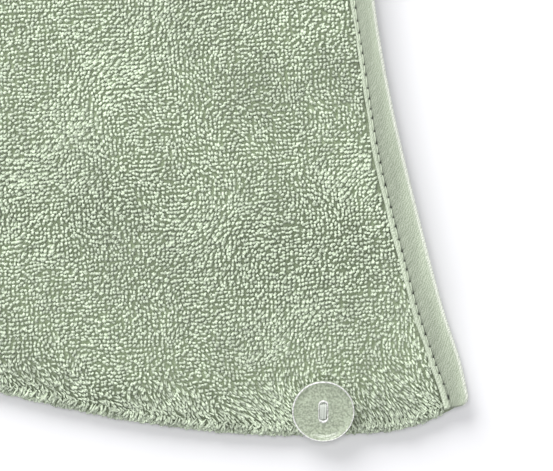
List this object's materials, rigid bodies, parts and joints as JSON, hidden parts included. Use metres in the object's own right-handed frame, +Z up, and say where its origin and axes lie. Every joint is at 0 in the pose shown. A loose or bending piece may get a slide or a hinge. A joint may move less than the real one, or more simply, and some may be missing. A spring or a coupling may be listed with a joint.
{
  "type": "hair turban towel",
  "caption": "Terry hair turban lying flat: a wide hood with a bound face opening, a clear button at the nape and a long tapering tail that ends in a tape loop.",
  "frame": {"origin": "under the middle of the whole, on the surface that the towel lies on", "axes": "+Y from the nape seam to the tail tip, +X from the crown side to the face opening, +Z up from the surface"},
  "size_m": [0.259, 0.6886, 0.0154],
  "materials": {
    "terry": "soft cotton loop pile, sage green",
    "tape": "smooth woven cotton bias tape, sage green",
    "resin": "clear, polished",
    "thread": "matt white sewing thread"
  },
  "bodies": {
    "root": {"front_panel": "terry", "back_panel": "terry", "front_binding": "tape", "back_binding": "tape", "tail_loop": "tape", "button": "resin", "button_thread": "thread"}
  },
  "joints": []
}
